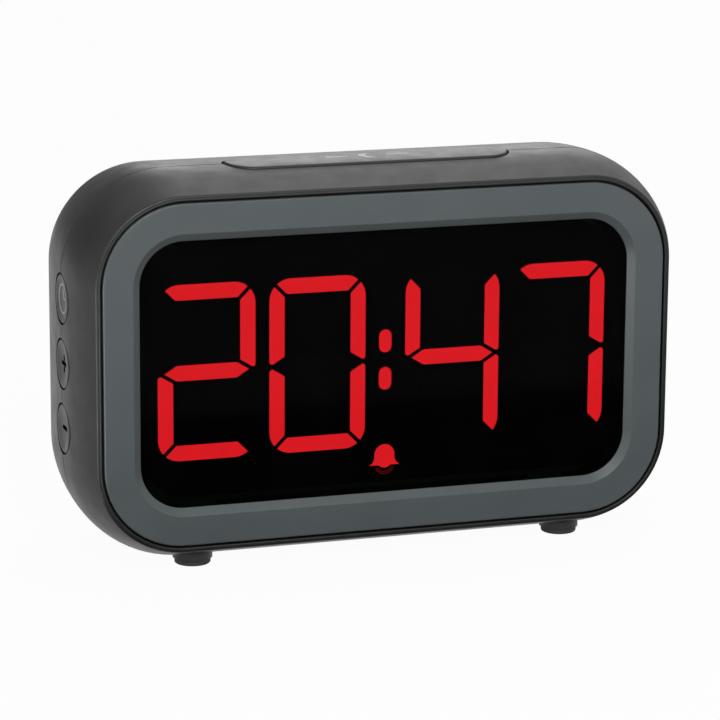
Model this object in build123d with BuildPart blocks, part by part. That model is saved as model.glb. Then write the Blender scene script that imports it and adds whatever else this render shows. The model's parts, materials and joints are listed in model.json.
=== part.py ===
from build123d import *
from math import atan2, cos, degrees, radians, sin, sqrt
import os

# Desk alarm clock with a seven-segment LED display.
# Millimetres. X runs to the viewer's right, Y from front to back and Z up.
# The origin lies on the table, under the middle of the case.
# A depth is counted backwards from the front of the bezel.
# A rise is counted upwards from the middle of the bezel.

os.makedirs("parts", exist_ok=True)

# Case
bezel_width = 126.0
bezel_height = 73.9
bezel_corner = 17.7
case_depth = 39.0
parting_depth = 16.7
case_bulge = 5.0
lip_land = 0.5
lip_width = 0.55
lip_rise = 0.25
rear_flare = 2.4
case_wall = 2.2
back_wall = 2.0
back_flange = 5.0
front_edge_round = 0.6
back_edge_round = 4.0
parting_chamfer = 0.25
tongue_length = 1.4
tongue_thickness = 1.0
tongue_clearance = 0.1
belly_clearance = 0.6
overrun = 1.0

# Bezel and lens
bezel_thickness = 2.2
bezel_gap = 0.4
bezel_frame = 8.1
bezel_edge_round = 0.4
bevel_width = 1.6
bevel_depth = 1.2
bevel_edge = 0.3
bevel_round = 0.3
lens_overlap = 1.6
lens_thickness = 1.5
lens_clearance = 0.1
ledge_width = 5.0
ledge_thickness = 1.8

# Feet
foot_radius = 3.9
foot_height = 1.3
foot_edge_round = 0.4
foot_stem_radius = 1.5
foot_stem_length = 2.0
foot_clearance = 0.05
foot_boss_radius = 4.3
foot_inset = 20.8
front_foot_depth = 6.7
rear_foot_inset = 7.5

# Case screws, with the posts and columns that they join
screw_inset = 4.0
screw_radius = 1.3
screw_length = 12.0
screw_head_radius = 2.5
screw_head_height = 1.8
screw_slot_width = 0.7
screw_slot_depth = 0.8
screw_clearance = 0.05
screw_hole_clearance = 0.3
screw_head_clearance = 0.4
post_radius = 3.2
column_radius = 3.5
column_seat = 3.5
joint_gap = 0.1

# Display board
board_side_margin = 12.0
board_end_margin = 6.95
board_corner_share = 0.226
board_setback = 6.9
board_thickness = 1.6
board_ear_width = 8.0
board_ear_reach = 6.0
board_ear_corner = 2.0
board_screw_share = 0.7843
board_ear_screw = 3.3
board_screw_radius = 1.0
board_screw_length = 5.0
board_screw_head_radius = 1.9
board_screw_head_height = 1.4
board_post_radius = 2.7

# Seven-segment display
digit_width_share = 0.1949
digit_height_share = 0.6603
digit_corner = 4.7
digit_pitch_share = 0.2236
digit_middle_share = 0.2778
stroke = 3.3
segment_gap = 0.9
segment_thickness = 1.2
segment_clearance = 0.05
bar_tip_inset = 0.6
bar_tip_angle = 31.5
side_gap = 1.1
side_gap_reach = 1.0
colon_width = 2.76
colon_height = 4.95
colon_spacing = 8.26
reflector_side_margin = 2.1
reflector_end_margin = 1.85
reflector_gap = 0.2
led_size = 1.6
led_height = 0.8

# Alarm bell sign
bell_drop_share = 0.3258
bell_height = 4.6
bell_width = 6.8
bell_dome_width = 4.5
bell_dome_height = 2.0
bell_flare_height = 1.9
bell_clapper_width = 2.6
bell_clapper_drop = 0.6

# Parts on the back of the display board
chip_length = 18.0
chip_width = 7.5
chip_thickness = 2.3
chip_x = -8.0
chip_rise_share = 0.2333
chip_lead_pitch = 1.27
chip_lead_width = 0.4
chip_lead_reach = 1.4
chip_lead_thickness = 0.3
chip_leads_per_side = 14
crystal_radius = 1.5
crystal_length = 8.0
crystal_x = 12.0
crystal_rise_share = 0.2833
crystal_gap = 0.1
capacitor_radius = 3.15
capacitor_height = 7.0
capacitor_x = 24.0
capacitor_pitch = 8.0
capacitor_drop_share = 0.3667

# Side buttons
button_radius_share = 0.3746
button_clearance = 0.3
button_rise = 0.6
button_pitch_share = 0.1915
button_sink = 0.15
button_rim = 0.7
button_dish = 0.5
button_edge_round = 0.25
button_flange_lip = 0.9
button_flange_thickness = 1.0
button_flange_gap = 0.9
button_stem_radius = 2.0
button_stem_length = 1.4

# Tact switches
switch_size = 6.0
switch_height = 3.5
switch_edge = 0.5
plunger_radius = 1.75
plunger_reach = 1.5
plunger_hold = 1.0
plunger_room = 1.2
plunger_clearance = 0.05

# Key board and its rails
key_board_thickness = 1.2
key_board_end = 2.85
key_board_width = 9.0
rail_wall = 1.7
rail_grip = 1.5
rail_clearance = 0.1
rail_front_depth = 13.0

# Snooze bar
snooze_length = 64.0
snooze_width = 11.8
snooze_clearance = 0.4
snooze_proud = 0.35
snooze_crown = 0.35
snooze_edge_round = 0.5
snooze_wall = 1.8
snooze_flange = 1.2
snooze_flange_thickness = 1.2
snooze_flange_gap = 1.1
snooze_stem_radius = 2.5
snooze_stem_length = 1.2
snooze_peg_radius = 1.5
snooze_peg_inset = 7.0
snooze_peg_length = 7.0
snooze_peg_clearance = 0.3

# Snooze board and its brackets
snooze_board_inset = 3.0
snooze_board_width = 9.0
snooze_board_thickness = 1.6
bracket_spread = 28.0
bracket_width = 6.0
bracket_height = 3.0
bracket_front_depth = 13.2

# Back-up cells, bay, contacts and door
cell_radius = 5.25
cell_length = 44.5
cell_nub_radius = 1.9
cell_nub_height = 0.8
cell_gap = 0.6
cell_clearance = 0.4
bay_end_room = 1.75
bay_wall = 1.6
bay_side_share = 0.0476
bay_drop_share = 0.0812
contact_thickness = 0.5
contact_width = 7.6
contact_bump_radius = 2.4
contact_bump_tip_radius = 1.2
contact_bump_gap = 0.2
contact_tail_width = 3.0
contact_tail_length = 10.25
contact_slot_clearance = 0.2
door_clearance = 0.3
door_seat = 1.0
door_seat_gap = 0.1
door_tongue_width = 8.0
door_tongue_thickness = 1.4
door_tongue_reach = 1.8
door_tongue_gap = 0.2
door_tongue_root = 2.5
door_tongue_spread = 28.0
door_tongue_swing = 0.8
door_window_clearance = 0.4
latch_width = 12.0
latch_slit = 0.8
latch_length = 8.0
latch_grip_depth = 0.7

# Buzzer
buzzer_radius = 10.0
buzzer_height = 5.0
buzzer_cap_radius = 4.0
buzzer_cap_height = 0.6
buzzer_clearance = 0.15
buzzer_ring_wall = 1.2
buzzer_ring_height = 4.0
buzzer_side_share = 0.3016
buzzer_rise_share = 0.1353
sound_slot_length = 12.0
sound_slot_width = 1.2
sound_slot_pitch = 2.6
sound_slot_count = 5

# Low-voltage inlet
inlet_width = 9.0
inlet_height = 11.0
inlet_length = 14.0
inlet_edge = 0.8
inlet_bore_radius = 3.15
inlet_bore_depth = 9.5
inlet_pin_radius = 1.0
inlet_pin_setback = 1.0
inlet_hole_radius = 3.6
inlet_side_share = 0.3333
inlet_drop_share = 0.2571
cradle_wall = 1.2
cradle_height = 10.0
cradle_clearance = 0.1

# Ribbons and leads
ribbon_thickness = 0.4
ribbon_width = 10.0
ribbon_bend = 1.5
ribbon_foot = 4.0
lead_radius = 0.6
lead_spacing = 4.0
lead_slack = 6.0
lead_straight_share = 0.3
lead_bend_share = 0.2

# Places worked out from the sizes above
front_y = -case_depth / 2
parting_y = front_y + parting_depth
back_inner_depth = case_depth - back_wall
centre_z = bezel_height / 2 + case_bulge + belly_clearance
rim_z = centre_z + bezel_height / 2
top_z = rim_z + case_bulge
side_x = -bezel_width / 2 - case_bulge
lip_out = bezel_gap + lip_width
front_flare = lip_out + lip_land
ledge_back_depth = bezel_thickness + ledge_thickness
lens_depth = bevel_depth + bevel_edge
reflector_depth = lens_depth + lens_thickness + reflector_gap
board_depth = parting_depth - board_setback
board_back_depth = board_depth + board_thickness
window_width = bezel_width - 2 * bezel_frame
window_height = bezel_height - 2 * bezel_frame
foot_spread = bezel_width - 2 * foot_inset
rear_foot_depth = case_depth - rear_foot_inset

screw_reach = bezel_corner - screw_inset
screw_x = bezel_width / 2 - bezel_corner + screw_reach * cos(radians(45))
screw_rise = bezel_height / 2 - bezel_corner + screw_reach * sin(radians(45))
screw_spots = [(x, rise) for x in (-screw_x, screw_x) for rise in (-screw_rise, screw_rise)]
board_width = bezel_width - 2 * board_side_margin
board_height = bezel_height - 2 * board_end_margin
board_corner = bezel_corner * board_corner_share
board_screw_x = board_width * board_screw_share / 2
board_screw_rise = board_height / 2 + board_ear_screw
board_screw_spots = [
    (across * board_screw_x, up * board_screw_rise) for across in (-1, 1) for up in (-1, 1)
]
reflector_width = window_width - 2 * reflector_side_margin
reflector_height = window_height - 2 * reflector_end_margin
reflector_corner = bezel_corner - bezel_frame - reflector_side_margin
digit_width = window_width * digit_width_share
digit_height = window_height * digit_height_share
digit_pitch = window_width * digit_pitch_share
digit_middle_gap = window_width * digit_middle_share
digit_x = {
    "hours_tens": -digit_middle_gap / 2 - digit_pitch,
    "hours_units": -digit_middle_gap / 2,
    "minutes_tens": digit_middle_gap / 2,
    "minutes_units": digit_middle_gap / 2 + digit_pitch,
}
lit_letters = {
    "hours_tens": "abged",
    "hours_units": "abcdef",
    "minutes_tens": "fgbc",
    "minutes_units": "abc",
}
bell_brim_rise = -window_height * bell_drop_share - bell_height
chip_rise = board_height * chip_rise_share
crystal_rise = board_height * crystal_rise_share
capacitor_rise = -board_height * capacitor_drop_share

button_pitch = bezel_height * button_pitch_share
button_radius = button_pitch * button_radius_share
button_flange_radius = button_radius + button_flange_lip
button_rises = {
    "set": button_rise + button_pitch,
    "plus": button_rise,
    "minus": button_rise - button_pitch,
}
key_board_height = 2 * button_pitch + switch_size + 2 * key_board_end
button_flange_x = side_x + case_wall + button_flange_gap
button_stem_x = button_flange_x + button_flange_thickness + button_stem_length
key_board_x = button_stem_x + plunger_reach + switch_height
snooze_peg_spread = snooze_length - 2 * snooze_peg_inset
snooze_board_length = snooze_length - 2 * snooze_board_inset
snooze_flange_z = top_z - case_wall - snooze_flange_gap
snooze_stem_z = snooze_flange_z - snooze_flange_thickness - snooze_stem_length
snooze_board_z = snooze_stem_z - plunger_reach - switch_height
bracket_z = snooze_board_z - snooze_board_thickness

bay_x = -bezel_width * bay_side_share
bay_rise = -bezel_height * bay_drop_share
buzzer_x = bezel_width * buzzer_side_share
buzzer_rise = bezel_height * buzzer_rise_share
inlet_x = bezel_width * inlet_side_share
inlet_rise = -bezel_height * inlet_drop_share
cell_pitch = 2 * cell_radius + cell_gap
cell_rises = (bay_rise - cell_pitch / 2, bay_rise + cell_pitch / 2)
cell_depth = back_inner_depth - door_seat_gap - cell_clearance - cell_radius
bay_length = cell_length + 2 * bay_end_room
bay_height = cell_pitch + 2 * cell_radius + 2 * cell_clearance
bay_front_depth = cell_depth - cell_radius - cell_clearance - bay_wall
door_opening_length = bay_length + 2 * door_seat
door_opening_height = bay_height + 2 * door_seat
door_bottom_rise = bay_rise - door_opening_height / 2
tongue_back_depth = back_inner_depth - door_tongue_gap
tongue_front_depth = tongue_back_depth - door_tongue_thickness


def rim(depth, out):
    """A point of the wall's section, at a depth and a distance outside the bezel's edge."""
    return (front_y + depth, rim_z + out)


def bezel_half_outline():
    """The bezel's edge from its top middle, round the right side, to its bottom middle."""
    right = bezel_width / 2
    bottom = rim_z - bezel_height
    FilletPolyline((0, rim_z), (right, rim_z), (right, bottom), (0, bottom), radius=bezel_corner)


def front_out(depth):
    """How far the front shell stands outside the bezel's edge."""
    drop = case_bulge - front_flare
    length = parting_depth - lip_rise
    radius = (length**2 + drop**2) / (2 * drop)
    return case_bulge - radius + sqrt(radius**2 - (parting_depth - depth) ** 2)


def rear_out(depth):
    """How far the rear shell stands outside the bezel's edge."""
    drop = case_bulge - rear_flare
    length = case_depth - parting_depth
    radius = (length**2 + drop**2) / (2 * drop)
    return case_bulge - radius + sqrt(radius**2 - (depth - parting_depth) ** 2)


def face_plane(depth, x=0, rise=0):
    """A plane parallel to the bezel, whose normal points to the viewer."""
    return Plane(origin=(x, front_y + depth, centre_z + rise), x_dir=(1, 0, 0), z_dir=(0, -1, 0))


def side_plane(x, rise=0):
    """A plane across the side buttons, whose normal points out of the case's left side."""
    return Plane(origin=(x, parting_y, centre_z + rise), x_dir=(0, -1, 0), z_dir=(-1, 0, 0))


def floor_plane(z, x=0, y=0):
    """A level plane."""
    return Plane(origin=(x, y, z), x_dir=(1, 0, 0), z_dir=(0, 0, 1))


def save(piece, name):
    """Names a finished piece and writes it."""
    piece.label = name
    export_step(piece, f"parts/{name}.step")


# Openings that both shells share: the button holes and the snooze slot on the parting line
with BuildPart() as control_openings:
    with BuildSketch(side_plane(side_x - overrun)):
        with Locations(*[(0, rise) for rise in button_rises.values()]):
            Circle(button_radius + button_clearance)
    extrude(amount=-(2 * overrun + 2 * case_wall))
    with BuildSketch(floor_plane(top_z + overrun, y=parting_y)):
        SlotOverall(snooze_length + 2 * snooze_clearance, snooze_width + 2 * snooze_clearance)
    extrude(amount=-(2 * overrun + 2 * case_wall))


def foot_seats(depth, out):
    """A pair of foot bosses and the recess under them, for the wall at this depth."""
    boss_top = rim_z - bezel_height - out + case_wall
    spots = [(-foot_spread / 2, front_y + depth), (foot_spread / 2, front_y + depth)]
    with BuildPart() as bosses:
        with BuildSketch(floor_plane(foot_height)):
            with Locations(*spots):
                Circle(foot_boss_radius)
        extrude(amount=boss_top - foot_height)
    with BuildPart() as recesses:
        with BuildSketch(floor_plane(foot_height)):
            with Locations(*spots):
                Circle(foot_boss_radius)
        extrude(amount=-foot_height - overrun)
        with BuildSketch(floor_plane(foot_height)):
            with Locations(*spots):
                Circle(foot_stem_radius + foot_clearance)
        extrude(amount=foot_stem_length + foot_clearance)
    return bosses.part, recesses.part


# Front shell: a barrel-curved wall with a beaded lip round the bezel, a ledge behind it and a tongue
# for the rear shell
front_bosses, front_recesses = foot_seats(front_foot_depth, front_out(front_foot_depth))
ledge_wall_out = front_out(ledge_back_depth) - case_wall
inner_out = case_bulge - case_wall
with BuildPart() as front_shell:
    with BuildLine(Plane.XZ.offset(-front_y)):
        bezel_half_outline()
    with BuildSketch(Plane.YZ):
        with BuildLine():
            TangentArc(rim(parting_depth, case_bulge), rim(lip_rise, front_flare), tangent=(-1, 0))
            Line(rim(lip_rise, front_flare), rim(lip_rise, lip_out))
            ThreePointArc(
                rim(lip_rise, lip_out), rim(0, lip_out - lip_width / 2), rim(lip_rise, bezel_gap)
            )
            Polyline(
                rim(lip_rise, bezel_gap),
                rim(bezel_thickness, bezel_gap),
                rim(bezel_thickness, -ledge_width),
                rim(ledge_back_depth, -ledge_width),
                rim(ledge_back_depth, ledge_wall_out),
            )
            TangentArc(
                rim(parting_depth, inner_out), rim(ledge_back_depth, ledge_wall_out), tangent=(-1, 0)
            )
            Polyline(
                rim(parting_depth, inner_out),
                rim(parting_depth + tongue_length, inner_out),
                rim(parting_depth + tongue_length, inner_out + tongue_thickness),
                rim(parting_depth, inner_out + tongue_thickness),
                rim(parting_depth, case_bulge),
            )
        make_face()
        fillet(vertices().sort_by_distance(rim(lip_rise, front_flare))[0], front_edge_round)
        chamfer(vertices().sort_by_distance(rim(parting_depth, case_bulge))[0], parting_chamfer)
    sweep()
    mirror(about=Plane.YZ)
    with BuildSketch(face_plane(parting_depth)):
        with Locations(*screw_spots):
            Circle(post_radius)
    extrude(amount=parting_depth - ledge_back_depth)
    with BuildSketch(face_plane(board_depth)):
        with Locations(*board_screw_spots):
            Circle(board_post_radius)
    extrude(amount=board_depth - ledge_back_depth)
    add(front_bosses)
    with BuildSketch(face_plane(parting_depth)):
        with Locations(*screw_spots):
            Circle(screw_radius + screw_clearance)
    extrude(amount=screw_length - column_seat, mode=Mode.SUBTRACT)
    with BuildSketch(face_plane(board_depth)):
        with Locations(*board_screw_spots):
            Circle(board_screw_radius + screw_clearance)
    extrude(amount=board_screw_length, mode=Mode.SUBTRACT)
    add(front_recesses, mode=Mode.SUBTRACT)
    add(control_openings.part, mode=Mode.SUBTRACT)
save(front_shell.part, "front_shell")

# Rear shell: the wall behind the parting line, the back panel and what stands on it
rear_bosses, rear_recesses = foot_seats(rear_foot_depth, rear_out(rear_foot_depth))
back_wall_out = rear_out(back_inner_depth) - case_wall
column_length = back_inner_depth - parting_depth - joint_gap
rabbet_out = inner_out + tongue_thickness + tongue_clearance
rail_width = key_board_thickness + 2 * rail_clearance + 2 * rail_wall
rail_x = key_board_x + key_board_thickness / 2
with BuildPart() as rear_shell:
    with BuildLine(Plane.XZ.offset(-front_y)):
        bezel_half_outline()
    with BuildSketch(Plane.YZ):
        with BuildLine():
            TangentArc(rim(parting_depth, case_bulge), rim(case_depth, rear_flare), tangent=(1, 0))
            Polyline(
                rim(case_depth, rear_flare),
                rim(case_depth, -back_flange),
                rim(back_inner_depth, -back_flange),
                rim(back_inner_depth, back_wall_out),
            )
            TangentArc(
                rim(parting_depth, inner_out), rim(back_inner_depth, back_wall_out), tangent=(1, 0)
            )
            Line(rim(parting_depth, inner_out), rim(parting_depth, case_bulge))
        make_face()
        fillet(vertices().sort_by_distance(rim(case_depth, rear_flare))[0], back_edge_round)
        chamfer(vertices().sort_by_distance(rim(parting_depth, case_bulge))[0], parting_chamfer)
    sweep()
    with BuildLine(Plane.XZ.offset(-front_y)):
        bezel_half_outline()
    with BuildSketch(Plane.YZ):
        with BuildLine():
            Polyline(
                rim(parting_depth - overrun, inner_out - overrun),
                rim(parting_depth - overrun, rabbet_out),
                rim(parting_depth + tongue_length + tongue_clearance, rabbet_out),
                rim(parting_depth + tongue_length + tongue_clearance, inner_out - overrun),
                close=True,
            )
        make_face()
    sweep(mode=Mode.SUBTRACT)
    mirror(about=Plane.YZ)
    with BuildSketch(face_plane(case_depth)):
        RectangleRounded(
            bezel_width - back_flange, bezel_height - back_flange, bezel_corner - back_flange / 2
        )
    extrude(amount=back_wall)
    with BuildSketch(face_plane(back_inner_depth)):
        with Locations(*screw_spots):
            Circle(column_radius)
    extrude(amount=column_length)
    add(rear_bosses)
    # Battery bay
    with BuildSketch(face_plane(back_inner_depth, bay_x, bay_rise)):
        Rectangle(bay_length + 2 * bay_wall, bay_height + 2 * bay_wall)
    extrude(amount=back_inner_depth - bay_front_depth)
    # Rails for the key board
    with BuildSketch(face_plane(back_inner_depth, rail_x, button_rise)):
        with GridLocations(0, key_board_height, 1, 2):
            Rectangle(rail_width, 2 * rail_grip)
    extrude(amount=back_inner_depth - rail_front_depth)
    # Brackets for the snooze board
    with BuildSketch(face_plane(back_inner_depth, rise=bracket_z - bracket_height / 2 - centre_z)):
        with GridLocations(bracket_spread, 0, 2, 1):
            Rectangle(bracket_width, bracket_height)
    extrude(amount=back_inner_depth - bracket_front_depth)
    # Ring round the buzzer and cradle of the inlet
    with BuildSketch(face_plane(back_inner_depth, buzzer_x, buzzer_rise)):
        Circle(buzzer_radius + buzzer_clearance + buzzer_ring_wall)
        Circle(buzzer_radius + buzzer_clearance, mode=Mode.SUBTRACT)
    extrude(amount=buzzer_ring_height)
    with BuildSketch(face_plane(back_inner_depth, inlet_x, inlet_rise)):
        Rectangle(inlet_width + 2 * cradle_clearance + 2 * cradle_wall, inlet_height)
        Rectangle(inlet_width + 2 * cradle_clearance, inlet_height, mode=Mode.SUBTRACT)
    extrude(amount=cradle_height)
    # Cuts
    with BuildSketch(face_plane(case_depth + overrun)):
        with Locations(*screw_spots):
            Circle(screw_radius + screw_hole_clearance)
    extrude(amount=case_depth + overrun - parting_depth, mode=Mode.SUBTRACT)
    with BuildSketch(face_plane(case_depth + overrun)):
        with Locations(*screw_spots):
            Circle(screw_head_radius + screw_head_clearance)
    extrude(amount=case_depth + overrun - parting_depth - joint_gap - column_seat, mode=Mode.SUBTRACT)
    with BuildSketch(face_plane(case_depth + overrun, bay_x, bay_rise)):
        Rectangle(door_opening_length, door_opening_height)
    extrude(amount=back_wall + overrun, mode=Mode.SUBTRACT)
    with BuildSketch(face_plane(case_depth, bay_x, bay_rise)):
        Rectangle(bay_length, bay_height)
    extrude(amount=case_depth - cell_depth, mode=Mode.SUBTRACT)
    with BuildSketch(Plane.YZ.offset(bay_x - bay_length / 2)):
        with Locations(*[(front_y + cell_depth, centre_z + rise) for rise in cell_rises]):
            Circle(cell_radius + cell_clearance)
    extrude(amount=bay_length, mode=Mode.SUBTRACT)
    with BuildSketch(face_plane(back_inner_depth, bay_x, bay_rise - bay_height / 2)):
        with GridLocations(door_tongue_spread, 0, 2, 1):
            Rectangle(door_tongue_width + 2 * door_window_clearance, 2 * bay_wall + 2 * overrun)
    extrude(amount=back_inner_depth - tongue_front_depth + door_tongue_swing, mode=Mode.SUBTRACT)
    with BuildSketch(face_plane(cell_depth, bay_x + (bay_length - contact_thickness) / 2, bay_rise)):
        with GridLocations(0, cell_pitch, 1, 2):
            Rectangle(
                contact_thickness + 2 * contact_slot_clearance,
                contact_tail_width + 2 * contact_slot_clearance,
            )
    extrude(amount=cell_depth - bay_front_depth + overrun, mode=Mode.SUBTRACT)
    rail_slot_depth = parting_depth + key_board_width / 2 + rail_clearance
    with BuildSketch(face_plane(rail_slot_depth, rail_x, button_rise)):
        Rectangle(key_board_thickness + 2 * rail_clearance, key_board_height + 2 * rail_clearance)
    extrude(amount=key_board_width + overrun, mode=Mode.SUBTRACT)
    with BuildSketch(floor_plane(bracket_z, y=parting_y)):
        with GridLocations(bracket_spread, 0, 2, 1):
            Circle(board_screw_radius + screw_clearance)
    extrude(amount=-bracket_height, mode=Mode.SUBTRACT)
    with BuildSketch(face_plane(case_depth, buzzer_x, buzzer_rise)):
        with GridLocations(0, sound_slot_pitch, 1, sound_slot_count):
            SlotOverall(sound_slot_length, sound_slot_width)
    extrude(amount=back_wall, mode=Mode.SUBTRACT)
    with BuildSketch(face_plane(case_depth, inlet_x, inlet_rise)):
        Circle(inlet_hole_radius)
    extrude(amount=back_wall, mode=Mode.SUBTRACT)
    add(rear_recesses, mode=Mode.SUBTRACT)
    add(control_openings.part, mode=Mode.SUBTRACT)
save(rear_shell.part, "rear_shell")

# Bezel: a frame with a bevel round the window and a rebate for the lens behind it
with BuildPart() as bezel:
    with BuildLine(Plane.XZ.offset(-front_y)):
        bezel_half_outline()
    with BuildSketch(Plane.YZ):
        with BuildLine():
            Polyline(
                rim(0, 0),
                rim(0, bevel_width - bezel_frame),
                rim(bevel_depth, -bezel_frame),
                rim(lens_depth, -bezel_frame),
                rim(lens_depth, lens_overlap - bezel_frame),
                rim(bezel_thickness, lens_overlap - bezel_frame),
                rim(bezel_thickness, 0),
                close=True,
            )
        make_face()
        fillet(vertices().sort_by_distance(rim(0, 0))[0], bezel_edge_round)
        fillet(vertices().sort_by_distance(rim(0, bevel_width - bezel_frame))[0], bevel_round)
    sweep()
    mirror(about=Plane.YZ)
save(bezel.part, "bezel")

# Display lens
lens_inset = bezel_frame - lens_overlap + lens_clearance
with BuildPart() as display_lens:
    with BuildSketch(face_plane(lens_depth + lens_thickness)):
        RectangleRounded(
            bezel_width - 2 * lens_inset, bezel_height - 2 * lens_inset, bezel_corner - lens_inset
        )
    extrude(amount=lens_thickness)
save(display_lens.part, "display_lens")


def digit_segments(margin):
    """The seven segments of a digit by letter: a rounded frame with a bar, cut apart by gaps."""
    gap = segment_gap - 2 * margin
    inner_width = digit_width - 2 * stroke - 2 * margin
    inner_height = digit_height - 2 * stroke - 2 * margin
    with BuildSketch() as digit:
        RectangleRounded(digit_width + 2 * margin, digit_height + 2 * margin, digit_corner + margin)
        Rectangle(inner_width, inner_height, mode=Mode.SUBTRACT)
        Rectangle(digit_width, stroke + 2 * margin)
        for side in (-1, 1):
            for level in (-1, 1):
                with Locations((side * (digit_width - stroke) / 2, level * (digit_height - stroke) / 2)):
                    Rectangle(2 * stroke, gap, rotation=side * level * 45, mode=Mode.SUBTRACT)
                with Locations((side * (digit_width / 2 - bar_tip_inset), 0)):
                    Rectangle(4 * stroke, gap, rotation=level * bar_tip_angle, mode=Mode.SUBTRACT)
            with Locations((side * digit_width / 2, 0)):
                Rectangle(2 * side_gap_reach, side_gap - 2 * margin, mode=Mode.SUBTRACT)
    rows = [row.sort_by(Axis.X) for row in digit.faces().group_by(Axis.Y)]
    (bottom,), (low_left, low_right), (middle,), (up_left, up_right), (top,) = rows
    return dict(a=top, b=up_right, c=low_right, d=bottom, e=low_left, f=up_left, g=middle)


def bell_outline(margin):
    """The alarm bell, drawn about the middle of its brim, as one face."""
    half_dome = bell_dome_width / 2
    half_brim = bell_width / 2
    half_clapper = bell_clapper_width / 2
    shoulder = bell_height - bell_dome_height
    with BuildSketch() as bell:
        with BuildLine():
            ThreePointArc((-half_dome, shoulder), (0, bell_height), (half_dome, shoulder))
            Line((half_dome, shoulder), (half_dome, bell_flare_height))
            TangentArc((half_dome, bell_flare_height), (half_brim, 0), tangent=(0, -1))
            Line((half_brim, 0), (half_clapper, 0))
            ThreePointArc((half_clapper, 0), (0, -bell_clapper_drop), (-half_clapper, 0))
            Line((-half_clapper, 0), (-half_brim, 0))
            TangentArc((-half_dome, bell_flare_height), (-half_brim, 0), tangent=(0, -1))
            Line((-half_dome, bell_flare_height), (-half_dome, shoulder))
        make_face()
        if margin:
            offset(amount=margin)
    return bell.sketch


# Segment reflector: a block with one light well for each segment, dot and sign
segments = digit_segments(0)
wells = digit_segments(segment_clearance)
segment_back_depth = reflector_depth + segment_thickness
with BuildPart() as segment_reflector:
    with BuildSketch(face_plane(board_depth)):
        RectangleRounded(reflector_width, reflector_height, reflector_corner)
    extrude(amount=board_depth - reflector_depth)
    with BuildSketch(face_plane(board_depth)):
        with Locations(*[(x, 0) for x in digit_x.values()]):
            add(list(wells.values()))
        with GridLocations(0, colon_spacing, 1, 2):
            SlotOverall(
                colon_height + 2 * segment_clearance,
                colon_width + 2 * segment_clearance,
                rotation=90,
            )
        with Locations((0, bell_brim_rise)):
            add(bell_outline(segment_clearance))
    extrude(amount=board_depth - reflector_depth, mode=Mode.SUBTRACT)
save(segment_reflector.part, "segment_reflector")

# Lit segments of each digit, then all the unlit ones as one group
for name, x in digit_x.items():
    with BuildPart() as lit_digit:
        with BuildSketch(face_plane(segment_back_depth, x)):
            add([segments[letter] for letter in lit_letters[name]])
        extrude(amount=segment_thickness)
    save(lit_digit.part, f"{name}_lit")
with BuildPart() as unlit_segments:
    with BuildSketch(face_plane(segment_back_depth)):
        for name, x in digit_x.items():
            with Locations((x, 0)):
                add([face for letter, face in segments.items() if letter not in lit_letters[name]])
    extrude(amount=segment_thickness)
save(unlit_segments.part, "unlit_segments")

# Colon dots and alarm bell
with BuildPart() as colon_lights:
    with BuildSketch(face_plane(segment_back_depth)):
        with GridLocations(0, colon_spacing, 1, 2):
            SlotOverall(colon_height, colon_width, rotation=90)
    extrude(amount=segment_thickness)
save(colon_lights.part, "colon_lights")
with BuildPart() as alarm_bell:
    with BuildSketch(face_plane(segment_back_depth, rise=bell_brim_rise)):
        add(bell_outline(0))
    extrude(amount=segment_thickness)
save(alarm_bell.part, "alarm_bell")

# Display board with four ears for its screws
with BuildPart() as display_board:
    with BuildSketch(face_plane(board_back_depth)):
        RectangleRounded(board_width, board_height, board_corner)
        with GridLocations(2 * board_screw_x, 0, 2, 1):
            RectangleRounded(board_ear_width, board_height + 2 * board_ear_reach, board_ear_corner)
        with Locations(*board_screw_spots):
            Circle(board_screw_radius + screw_hole_clearance, mode=Mode.SUBTRACT)
    extrude(amount=board_thickness)
save(display_board.part, "display_board")


def screw_set(planes, radius, length, head_radius, head_height):
    """A group of equal pan-head screws, one on each plane, which is the seat of its head."""
    with BuildPart() as screws:
        for plane in planes:
            with BuildSketch(plane):
                Circle(radius)
            extrude(amount=length)
            with BuildSketch(plane):
                Circle(head_radius)
            extrude(amount=-head_height)
            with BuildSketch(plane.offset(-head_height)):
                Rectangle(2 * head_radius, screw_slot_width)
                Rectangle(screw_slot_width, 2 * head_radius)
            extrude(amount=screw_slot_depth, mode=Mode.SUBTRACT)
    return screws.part


board_screw_planes = [face_plane(board_back_depth, x, rise) for x, rise in board_screw_spots]
save(
    screw_set(
        board_screw_planes,
        board_screw_radius,
        board_screw_length,
        board_screw_head_radius,
        board_screw_head_height,
    ),
    "display_board_screws",
)
case_screw_depth = parting_depth + joint_gap + column_seat
case_screw_planes = [face_plane(case_screw_depth, x, rise) for x, rise in screw_spots]
save(
    screw_set(case_screw_planes, screw_radius, screw_length, screw_head_radius, screw_head_height),
    "case_screws",
)
bracket_screw_planes = [
    Plane(
        origin=(side * bracket_spread / 2, parting_y, snooze_board_z),
        x_dir=(1, 0, 0),
        z_dir=(0, 0, -1),
    )
    for side in (-1, 1)
]
save(
    screw_set(
        bracket_screw_planes,
        board_screw_radius,
        bracket_height,
        board_screw_head_radius,
        board_screw_head_height,
    ),
    "snooze_board_screws",
)

# LED chips, one in each well
led_spots = [
    (x + face.center().X, face.center().Y) for x in digit_x.values() for face in segments.values()
]
led_spots += [(0, -colon_spacing / 2), (0, colon_spacing / 2), (0, bell_brim_rise + bell_height / 2)]
with BuildPart() as led_chips:
    with BuildSketch(face_plane(board_depth)):
        with Locations(*led_spots):
            Rectangle(led_size, led_size)
    extrude(amount=led_height)
save(led_chips.part, "led_chips")

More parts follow.
